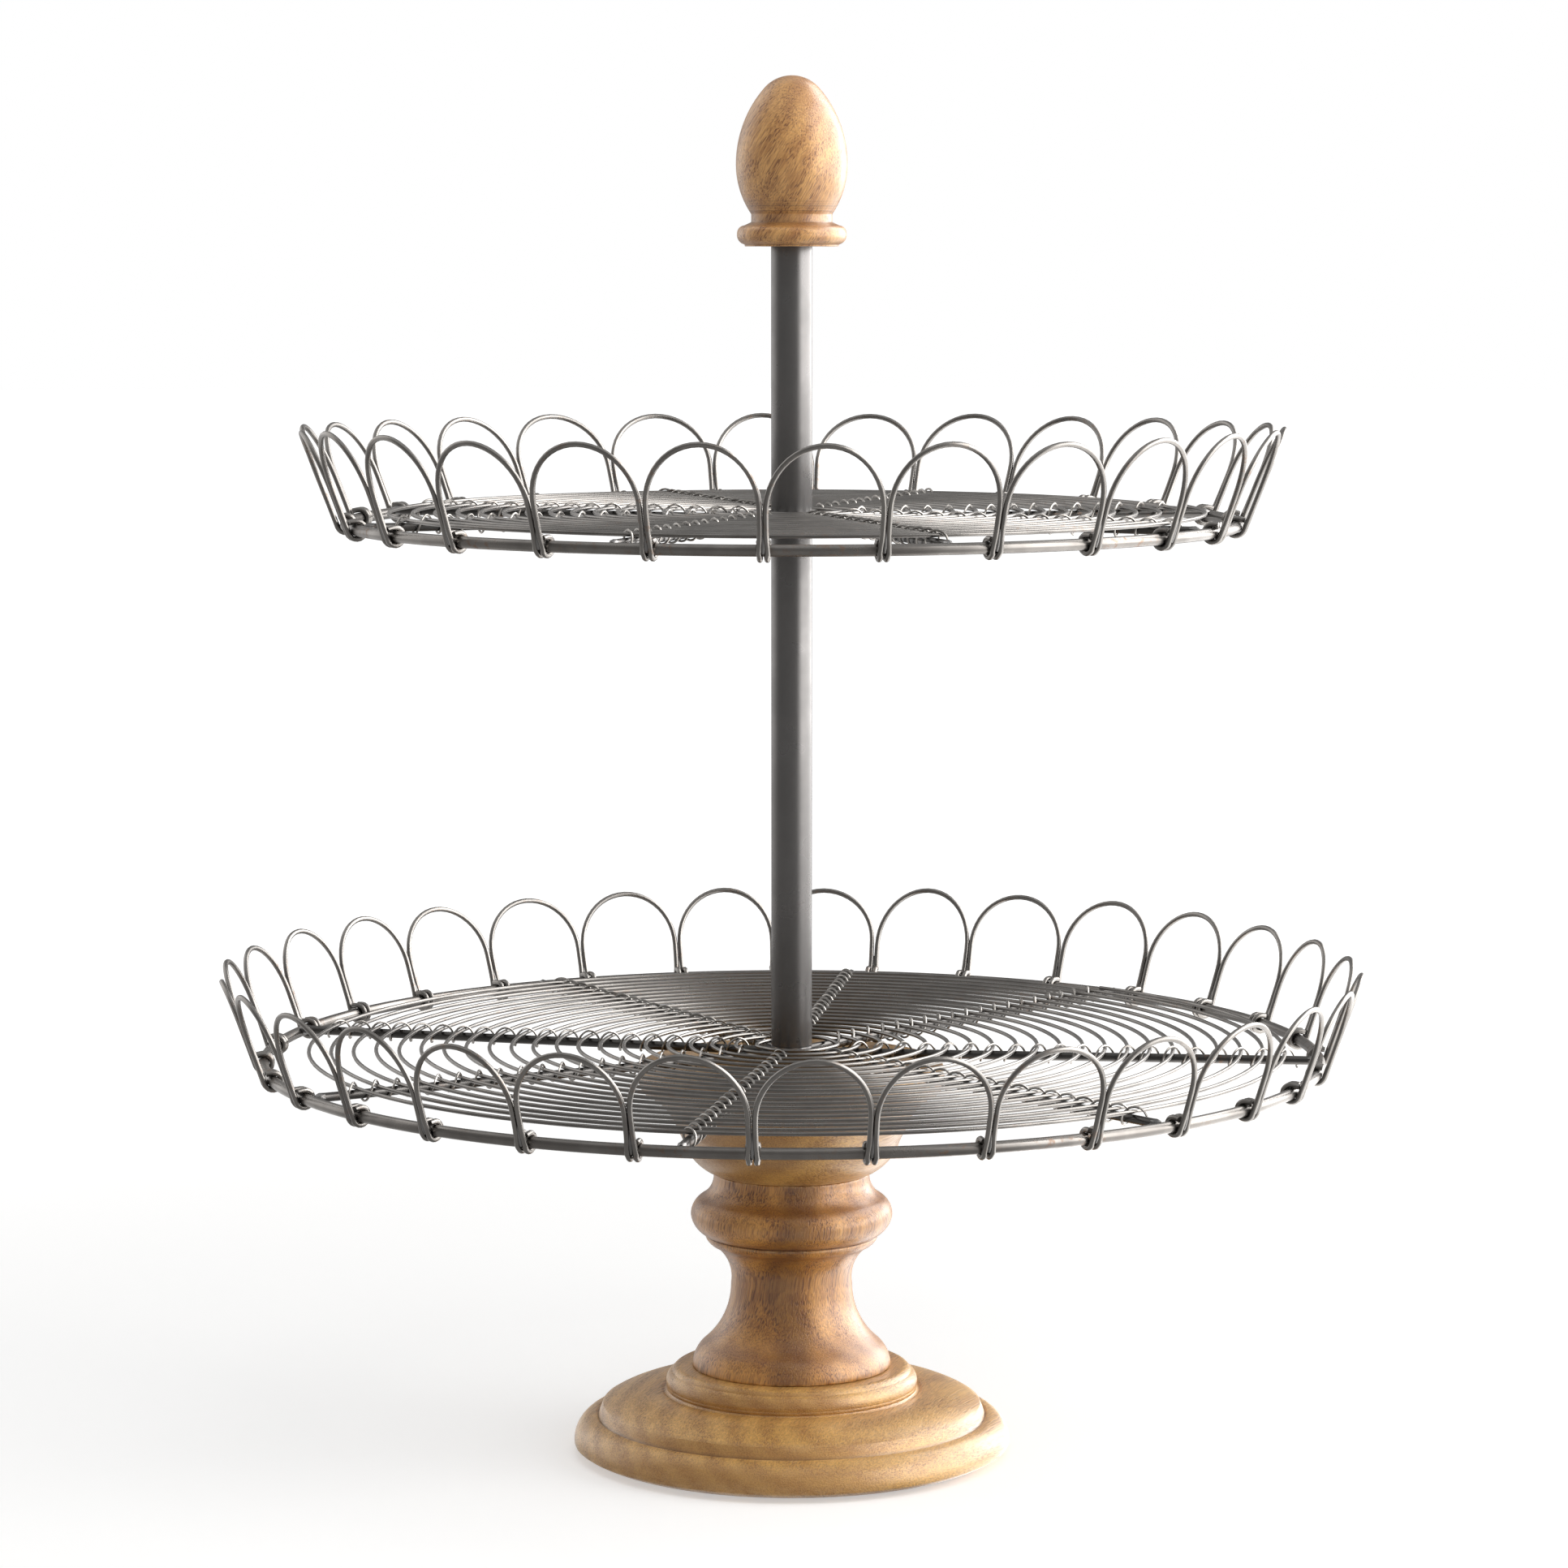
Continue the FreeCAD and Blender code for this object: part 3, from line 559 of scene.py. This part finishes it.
SOLDER = steel("solder", (0.195, 0.193, 0.191, 1), (0.135, 0.132, 0.129, 1), RUST, 0.30, 0.9, 0.4)
ZINC = steel("zinc", (0.55, 0.55, 0.56, 1), (0.36, 0.36, 0.37, 1), RUST, 0.1)
BRASS = steel("brass", (0.75, 0.55, 0.24, 1), (0.50, 0.34, 0.13, 1), (0.12, 0.09, 0.05, 1), 0.1)


# Pedestal and finial

def shared_outline(rows, radius, base, height):
    """Outline rows from shares of a radius and a height."""
    return [(radius * wide, base + height * high, bow) for wide, high, bow in rows]


def make_foot():
    """Stepped disc, with the nut's recess below and the column's socket above."""
    low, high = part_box("foot")
    sole = max(low.z, 0)
    rows = [(ROD_HOLE, NUT_RECESS_ROOF, 0), (NUT_RECESS, NUT_RECESS_ROOF, 0), (NUT_RECESS, sole, 0)]
    rows += shared_outline(FOOT_ROWS, high.x, sole, high.z - sole)
    rows += [(SOCKET, high.z, 0), (SOCKET, FOOT_SOCKET_FLOOR, 0), (ROD_HOLE, FOOT_SOCKET_FLOOR, 0)]
    foot = turned("foot_turned", outline(rows), 256)
    wear(foot, 0.9 * MM)
    mark_end_grain(foot, FOOT_GRAIN)
    dress(foot, "pedestal", "pale_wood", FOOT_WOOD, "foot")


def make_column():
    """Stem from a flare through a waist to a bead, with a tenon at both ends."""
    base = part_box("foot")[1].z
    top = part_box("capital")[0].z
    low_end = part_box("column")[0].z
    high_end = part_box("column")[1].z
    height = top - base
    bead_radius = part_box("column")[1].x
    flare = (bead_radius * 0.985, base)
    waist = (bead_radius * 0.6015, base + height * 0.424)
    cove = (bead_radius * 0.757, base + height * 0.622)
    ring = (bead_radius * 0.857, base + height * 0.672)
    groove = (bead_radius * 0.840, base + height * 0.679)
    bead = (bead_radius, base + height * 0.782)
    neck = (bead_radius * 0.772, base + height * 0.985)
    rows = [(ROD_HOLE, low_end, 0), (TENON, low_end, 0), (TENON, base, 0), flare + (0,)]
    rows += ogee(flare, waist, 0.29)
    rows += [cove + (-0.14,), ring + (0.12,), groove + (0,), bead + (0.14,)]
    rows += ogee(bead, neck, 0.45)
    rows += [(neck[0], top, 0), (TENON, top, 0), (TENON, high_end, 0), (ROD_HOLE, high_end, 0)]
    column = turned("column_turned", outline(rows, 14), 160)
    wear(column, 0.5 * MM)
    mark_end_grain(column, COLUMN_GRAIN)
    dress(column, "pedestal", "dark_wood", COLUMN_WOOD, "column")


def make_capital():
    """Flared plate under the lower tray."""
    low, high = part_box("capital")
    socket_roof = low.z + CAPITAL_SOCKET_DEPTH
    rows = [(SOCKET, low.z, 0)]
    rows += shared_outline(CAPITAL_ROWS, high.x, low.z, high.z - low.z)
    rows += [(ROD_HOLE, high.z, 0), (ROD_HOLE, socket_roof, 0), (SOCKET, socket_roof, 0)]
    capital = turned("capital_turned", outline(rows), 176)
    wear(capital, 0.7 * MM)
    mark_end_grain(capital, CAPITAL_GRAIN)
    dress(capital, "pedestal", "pale_wood", CAPITAL_WOOD_WITH_PAINTED_SHADE, "capital")


def make_finial():
    """Egg on a collar, with a seat for the post and a socket for the insert."""
    low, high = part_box("finial")
    height = high.z - low.z
    egg_radius = high.x
    collar_radius = egg_radius * 0.981
    collar_foot = collar_radius * 0.86
    neck_radius = egg_radius * 0.727
    neck_top = low.z + height * 0.190
    egg = (egg_radius, low.z + height * 0.482)
    low_lean = math.atan2(egg[0] - neck_radius, egg[1] - neck_top)
    ball_radius = egg_radius * 0.655
    ball_rise = high.z - ball_radius - egg[1]
    flank_radius = (egg_radius ** 2 + ball_rise ** 2 - ball_radius ** 2) / (2 * (egg_radius - ball_radius))
    flank_offset = flank_radius - egg_radius
    flank_turn = math.atan2(ball_rise, flank_offset)
    shoulder_height = egg[1] + flank_radius * math.sin(flank_turn)
    shoulder = (flank_radius * math.cos(flank_turn) - flank_offset, shoulder_height)
    seat = low.z + FINIAL_SEAT_DEPTH
    socket_roof = low.z + INSERT_SOCKET_DEPTH
    rows = [(0, socket_roof, 0), (INSERT_SOCKET, socket_roof, 0), (INSERT_SOCKET, seat, 0)]
    rows += [(FINIAL_SEAT, seat, 0), (FINIAL_SEAT, low.z, 0), (collar_foot, low.z, 0)]
    rows += [(collar_foot, low.z + height * 0.012, 0), (collar_radius, low.z + height * 0.075, 0.20)]
    rows += [(collar_radius * 0.87, low.z + height * 0.124, 0.20), (neck_radius, low.z + height * 0.143, 0)]
    rows += [(neck_radius, neck_top, 0), egg + (math.tan(low_lean / 2) / 2,)]
    rows += [shoulder + (math.tan(flank_turn / 4) / 2,)]
    rows += [(0, high.z, math.tan((math.pi / 2 - flank_turn) / 4) / 2)]
    finial = turned("finial_turned", outline(rows, 24), 144, 0.25 * MM, closed=False)
    wear(finial, 0.3 * MM)
    mark_end_grain(finial, EGG_GRAIN)
    dress(finial, "finial", "pale_wood", EGG_WOOD, "finial")


def make_post(tier):
    """Steel tube with broken edges."""
    node = tier + "_post"
    low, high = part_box(node)
    radius = high.x
    tube = turned(node + "_tube", [
        (POST_BORE, low.z),
        (radius - POST_CHAMFER, low.z),
        (radius, low.z + POST_CHAMFER),
        (radius, high.z - POST_CHAMFER),
        (radius - POST_CHAMFER, high.z),
        (POST_BORE, high.z),
    ], 96, 0.2 * MM)
    dress(tube, node, "post_steel", POST_STEEL, node)


# Trays

def middle(node):
    """Middle of a node's box."""
    low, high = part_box(node)
    return (low + high) / 2


def thickness(node):
    """Height of a node's box, which is the diameter of a level wire."""
    low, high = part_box(node)
    return high.z - low.z


def outward(angle):
    """Level direction at an angle."""
    return Vector((math.cos(angle), math.sin(angle), 0))


def level_angle(place):
    """Angle of a place about the post, from 0 to a full turn."""
    return math.atan2(place.y, place.x) % (2 * math.pi)


class Tray:
    """Places of one tray's wires, read from the frame."""

    def __init__(self, tier):
        self.tier = tier
        self.body = tier + "_tray"
        self.spoke_nodes = [tier + "_spoke_" + str(number + 1) for number in range(SPOKE_COUNT)]
        self.rim_wire = thickness(tier + "_rim")
        self.rim_level = middle(tier + "_rim").z
        self.rim_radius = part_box(tier + "_rim")[1].x - self.rim_wire / 2
        self.spoke_wire = thickness(self.spoke_nodes[0])
        self.spoke_level = middle(self.spoke_nodes[0]).z
        self.spoke_angles = [level_angle(middle(node)) for node in self.spoke_nodes]
        self.spoke_outer = self.rim_radius - self.rim_wire / 2 - SPOKE_RIM_GAP
        self.ring_wire = thickness(tier + "_ring_wire")
        self.ring_level = middle(tier + "_ring_wire").z
        self.ring_pitch = (self.rim_radius - RING_RIM_GAP - RING_START) / RING_TURNS[tier]
        self.petal_reach = (self.rim_wire + PETAL_WIRE) / 2 + PETAL_RIM_GAP
        self.petal_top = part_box(tier + "_petals")[1].z - PETAL_WIRE / 2

    def rim(self):
        """Heavy ring round the tray."""
        path = []
        for step in range(240):
            angle = 2 * math.pi * step / 240
            path.append(outward(angle) * self.rim_radius + UP * self.rim_level)
        rim = wire_piece(self.tier + "_rim_wire", [path], self.rim_wire, 14, closed=True)
        dress(rim, self.body, "tray_wire", RIM_STEEL, self.tier + "_rim")

    def spokes(self):
        """Straight rods from the hub to the rim."""
        paths = []
        for angle in self.spoke_angles:
            level = UP * self.spoke_level
            paths.append([outward(angle) * SPOKE_INNER + level, outward(angle) * self.spoke_outer + level])
        spokes = wire_piece(self.tier + "_spoke_rods", paths, self.spoke_wire, 14)
        dress(spokes, self.body, "tray_wire", SPOKE_STEEL, *self.spoke_nodes)

    def ring_radius(self, turned_by):
        """Radius of the ring wire after a turn from its start."""
        return RING_START + self.ring_pitch * turned_by / (2 * math.pi)

    def ring(self):
        """One flat spiral of wire on top of the spokes, a little uneven."""
        steps = 120
        path = []
        waves = []
        for number in range(4):
            waves.append((hand.uniform(3, 11), hand.uniform(0, 6.28), hand.uniform(0.05, 0.14) * MM))
        for step in range(steps * RING_TURNS[self.tier] + 1):
            turned_by = 2 * math.pi * step / steps
            wobble = sum(size * math.sin(turned_by * often + shift) for often, shift, size in waves)
            radius = self.ring_radius(turned_by) + wobble
            path.append(outward(self.spoke_angles[0] + turned_by) * radius + UP * self.ring_level)
        ring = wire_piece(self.tier + "_ring_spiral", [path], self.ring_wire, 8)
        dress(ring, self.body, "tray_wire", RING_STEEL, self.tier + "_ring_wire")

    def bindings(self):
        """Fine wire wound along each spoke, a loop over every turn of the ring wire."""
        low = self.spoke_level - self.spoke_wire / 2
        high = self.ring_level + self.ring_wire / 2
        level = (low + high) / 2
        steps = 18
        paths = []
        for angle in self.spoke_angles:
            first = self.ring_radius((angle - self.spoke_angles[0]) % (2 * math.pi))
            skipped = math.ceil((FIRST_LOOP_RADIUS + self.ring_pitch - first) / self.ring_pitch)
            loops = RING_TURNS[self.tier] - skipped
            aside = UP.cross(outward(angle))
            path = []
            swell = [hand.uniform(0.0, 0.5) * MM for loop in range(loops + 2)]
            slip = [hand.uniform(-0.5, 0.5) * MM for loop in range(loops + 2)]
            for step in range(steps * loops + 1):
                turned_by = 2 * math.pi * (step / steps - 0.5)
                loop = step // steps
                share = step / steps - loop
                proud = swell[loop] * (1 - share) + swell[loop + 1] * share
                shift = slip[loop] * (1 - share) + slip[loop + 1] * share
                surge = 0.8 * math.sin(turned_by) / (2 * math.pi)
                along = first + self.ring_pitch * (skipped + turned_by / (2 * math.pi) + surge) + shift
                size = (high - low) / 2 + BINDING_WIRE / 2 + BINDING_GAP + proud
                path.append(outward(angle) * along + aside * (size * 0.86 * math.sin(turned_by))
                            + UP * (level + size * math.cos(turned_by)))
            paths.append(path)
        bindings = wire_piece(self.tier + "_binding_coils", paths, BINDING_WIRE, 6)
        dress(bindings, self.body, "tray_wire", BINDING_STEEL, self.tier + "_binding_wires")

    def petal_place(self, angle, lean, sideways, along):
        """Place on a petal's leaning face: sideways from an angle and along its height from the heel."""
        reach = self.petal_reach
        heel_radius = self.rim_radius + reach * math.cos(lean)
        direction = outward(angle + sideways / heel_radius)
        radius = heel_radius + along * math.sin(lean)
        return direction * radius + UP * (self.rim_level - reach * math.sin(lean) + along * math.cos(lean))

    def hook(self, angle, lean, sideways, splay, sweep, stub):
        """Wire end bent under the rim, up inside it and over its top, from the heel to the tip."""
        reach = self.petal_reach
        path = []
        for step in range(1, 15):
            turn = sweep * step / 14
            swing = angle + (sideways + splay * step / 14) / self.rim_radius
            away = outward(swing) * math.cos(lean) - UP * math.sin(lean)
            upward = outward(swing) * math.sin(lean) + UP * math.cos(lean)
            centre = outward(swing) * self.rim_radius + UP * self.rim_level
            path.append(centre + (away * math.cos(turn) - upward * math.sin(turn)) * reach)
        onward = -away * math.sin(turn) - upward * math.cos(turn)
        path.append(path[-1] + onward * stub)
        return path

    def petals(self):
        """Fence of wire arches, hooked round the rim and soldered leg to leg, and the solder."""
        count = PETAL_COUNT[self.tier]
        pitch = 2 * math.pi / count
        joints = []
        for number in range(count):
            joints.append(FIRST_JOINT_ANGLE[self.tier] + pitch * number + hand.uniform(-0.004, 0.004))
        rise = self.petal_top - self.rim_level
        heel_radius = self.rim_radius + self.petal_reach
        leg_spacing = PETAL_WIRE / 2 + PETAL_LEG_GAP
        paths = []
        solder_paths = []
        solder_swells = []
        for number in range(count):
            start = joints[number]
            end = joints[(number + 1) % count]
            if end < start:
                end += 2 * math.pi
            facing = (start + end) / 2
            lean = PETAL_LEAN[self.tier] + PETAL_BACK_LEAN[self.tier] * math.sin(facing)
            lean += math.radians(hand.uniform(-1.2, 0.5))
            top = (rise - hand.uniform(0.0, 1.3) * MM) / math.cos(PETAL_LEAN[self.tier]) + 1.0 * MM
            half = heel_radius * (end - start) / 2
            leg = top * hand.uniform(0.36, 0.44)
            skew = hand.uniform(-0.9, 0.9) * MM
            sides = []
            for side in (-1, 1):
                legs = []
                for step in range(7):
                    along = leg * step / 6
                    gap = leg_spacing + PETAL_HEEL_SPREAD * math.exp(-(along / PETAL_HEEL_HEIGHT) ** 2)
                    legs.append((side * (half - gap), along))
                sides.append(legs)
            arch = []
            span = half - leg_spacing
            for step in range(1, 24):
                turn = math.pi * step / 24
                arch.append((-span * math.cos(turn), leg + (top - leg) * math.sin(turn)))
            face = sides[0] + arch + sides[1][::-1]
            body = []
            for sideways, along in face:
                body.append(self.petal_place(facing, lean, sideways + skew * (along / top) ** 2, along))
            ends = []
            for side in (-1, 1):
                sweep = math.radians(hand.uniform(254, 266))
                sideways = side * (half - leg_spacing - PETAL_HEEL_SPREAD)
                stub = hand.uniform(1.6, 2.6) * MM
                ends.append(self.hook(facing, lean, sideways, -side * 0.35 * MM, sweep, stub))
            paths.append(ends[0][::-1] + body + ends[1])
            drop = hand.uniform(6.5, 10.5) * MM
            fillet = [self.petal_place(start, lean, 0, drop * share) for share in LEG_SOLDER_SHARES]
            solder_paths.append(fillet)
            solder_swells.append(LEG_SOLDER_SWELLS)
        petals = wire_piece(self.tier + "_petal_arches", paths, PETAL_WIRE, 10)
        dress(petals, self.body, "tray_wire", PETAL_STEEL, self.tier + "_petals")
        for angle in self.spoke_angles:
            reaches = [self.spoke_outer + reach * MM for reach in SPOKE_SOLDER_REACHES]
            solder_paths.append([outward(angle) * reach + UP * self.spoke_level for reach in reaches])
            solder_swells.append(SPOKE_SOLDER_SWELLS)
        solder = wire_piece(self.tier + "_solder", solder_paths, SOLDER_WIRE, 8, swells=solder_swells)
        dress(solder, self.body, "tray_wire", SOLDER)

    def make(self):
        """Make the pieces of the tray and paint its hub."""
        self.rim()
        self.spokes()
        self.ring()
        self.bindings()
        self.petals()
        paint(self.tier + "_hub", SPOKE_STEEL)


def paint(node, material):
    """Give a node of the frame its material."""
    piece = bpy.data.objects[node]
    piece.data.materials.clear()
    piece.data.materials.append(material)


make_foot()
make_column()
make_capital()
make_finial()
for tier in TIERS:
    make_post(tier)
    Tray(tier).make()
for node in ZINC_NODES:
    paint(node, ZINC)
paint("finial_insert", BRASS)


# Room: floor, lamps and camera

def white_sight(tree):
    """Share of rays that look straight at a thing, mirror it or pass through to it."""
    path = tree.nodes.new("ShaderNodeLightPath")
    seen = value_step(tree, "MAXIMUM", path.outputs["Is Camera Ray"], path.outputs["Is Glossy Ray"])
    return value_step(tree, "MAXIMUM", seen, path.outputs["Is Transmission Ray"])


def make_floor():
    """Pale floor that looks white to the camera and in mirrors, and keeps the shadow."""
    bpy.ops.object.select_all(action="DESELECT")
    bpy.ops.mesh.primitive_circle_add(vertices=96, radius=14, fill_type="NGON")
    floor = bpy.context.object
    floor.name = "floor"
    material, tree, shader = new_material("pale_floor")
    shader["Base Color"].default_value = (0.80, 0.80, 0.80, 1)
    shader["Roughness"].default_value = 0.9
    shader["Specular IOR Level"].default_value = 0.0
    shader["Emission Color"].default_value = (1, 1, 1, 1)
    far = tree.nodes.new("ShaderNodeVectorMath")
    far.operation = "LENGTH"
    tree.links.new(tree.nodes.new("ShaderNodeTexCoord").outputs["Object"], far.inputs[0])
    glow = value_step(tree, "MULTIPLY_ADD", between(tree, far.outputs["Value"], 0.35, 1.6), 0.38, 0.45)
    tree.links.new(value_step(tree, "MULTIPLY", glow, white_sight(tree)), shader["Emission Strength"])
    floor.data.materials.append(material)
    return floor


def make_lamp(name, place, target, width, height, power, colour):
    """Soft lamp that lights what is dull; mirrors see the card instead."""
    lamp = bpy.data.lights.new(name, "AREA")
    lamp.shape = "RECTANGLE"
    lamp.size = width
    lamp.size_y = height
    lamp.energy = power
    lamp.color = colour
    holder = placed(name, lamp)
    holder.location = place
    holder.rotation_euler = (Vector(target) - Vector(place)).to_track_quat("-Z", "Y").to_euler()
    holder.visible_glossy = False
    return holder


def make_studio_card():
    """Cloth and curved card that only mirrors see: bright on the right, dimmer on the left, else grey."""
    reach = 2.4
    top = 3.2
    steps = 72
    points = []
    faces = []
    for step in range(steps):
        angle = 2 * math.pi * step / steps
        points += [(reach * math.sin(angle), -reach * math.cos(angle), height) for height in (MM, top)]
        after = (step + 1) % steps
        faces.append((2 * step, 2 * after, 2 * after + 1, 2 * step + 1))
    faces.append(tuple(range(0, 2 * steps, 2)))
    mesh = bpy.data.meshes.new("studio_card")
    mesh.from_pydata(points, [], faces)
    card = placed("studio_card", mesh)
    card.visible_camera = False
    card.visible_diffuse = False
    card.visible_shadow = False
    card.visible_transmission = False
    material, tree, shader = new_material("studio_card")
    shader["Base Color"].default_value = (0, 0, 0, 1)
    shader["Roughness"].default_value = 1.0
    shader["Specular IOR Level"].default_value = 0.0
    shader["Emission Color"].default_value = (1, 0.98, 0.965, 1)
    split = tree.nodes.new("ShaderNodeSeparateXYZ")
    tree.links.new(tree.nodes.new("ShaderNodeTexCoord").outputs["Object"], split.inputs[0])
    ahead = value_step(tree, "MULTIPLY", split.outputs[1], -1.0)
    turned_by = value_step(tree, "ARCTAN2", split.outputs[0], ahead)
    left = between(tree, turned_by, math.radians(-78), math.radians(-112))
    far_left = between(tree, turned_by, math.radians(-165), math.radians(-135))
    right = between(tree, turned_by, math.radians(32), math.radians(62))
    far_right = between(tree, turned_by, math.radians(160), math.radians(138))
    upright = between(tree, split.outputs[2], 0.02, 0.12)
    share = value_step(tree, "MULTIPLY_ADD", upright, 0.6, 0.4)
    left_band = value_step(tree, "MULTIPLY", value_step(tree, "MULTIPLY", left, far_left), share)
    right_band = value_step(tree, "MULTIPLY", value_step(tree, "MULTIPLY", right, far_right), share)
    grey = value_step(tree, "MULTIPLY_ADD", upright, -0.12, 0.52)
    glow = value_step(tree, "MULTIPLY_ADD", left_band, 1.3, grey)
    tree.links.new(value_step(tree, "MULTIPLY_ADD", right_band, 7.0, glow), shader["Emission Strength"])
    card.data.materials.append(material)
    return card


def make_world():
    """Soft light from all round, and a white backdrop."""
    world = bpy.data.worlds.new("white_room")
    bpy.context.scene.world = world
    world.use_nodes = True
    tree = world.node_tree
    backdrop = tree.nodes["Background"]
    backdrop.inputs["Color"].default_value = (1, 1, 1, 1)
    seen = white_sight(tree)
    tree.links.new(value_step(tree, "MULTIPLY_ADD", seen, 0.62, 0.38), backdrop.inputs["Strength"])


def make_camera():
    """Camera at the photograph's place, fitted to the outlines of both trays and the foot."""
    lens = bpy.data.cameras.new("camera")
    lens.lens = 109.94
    lens.sensor_width = 36.0
    lens.clip_start = 0.05
    lens.clip_end = 60
    camera = placed("camera", lens)
    camera.location = (-0.003, -1.8643, 0.4769)
    camera.rotation_euler = (math.radians(90 - 6.45), 0, 0)
    bpy.context.scene.camera = camera


make_world()
make_camera()
make_floor()
make_studio_card()
make_lamp("right_softbox", (1.45, -0.25, 0.70), (0, 0, 0.27), 1.4, 1.3, 17, (1.0, 0.985, 0.96))
make_lamp("left_softbox", (-1.6, -0.05, 0.60), (0, 0, 0.27), 1.2, 1.2, 1.2, (1.0, 0.93, 0.92))
make_lamp("top_softbox", (0.3, -0.9, 2.1), (0, 0, 0.2), 1.4, 1.4, 12, (1.0, 0.99, 0.97))
bpy.context.scene.view_settings.view_transform = "Standard"
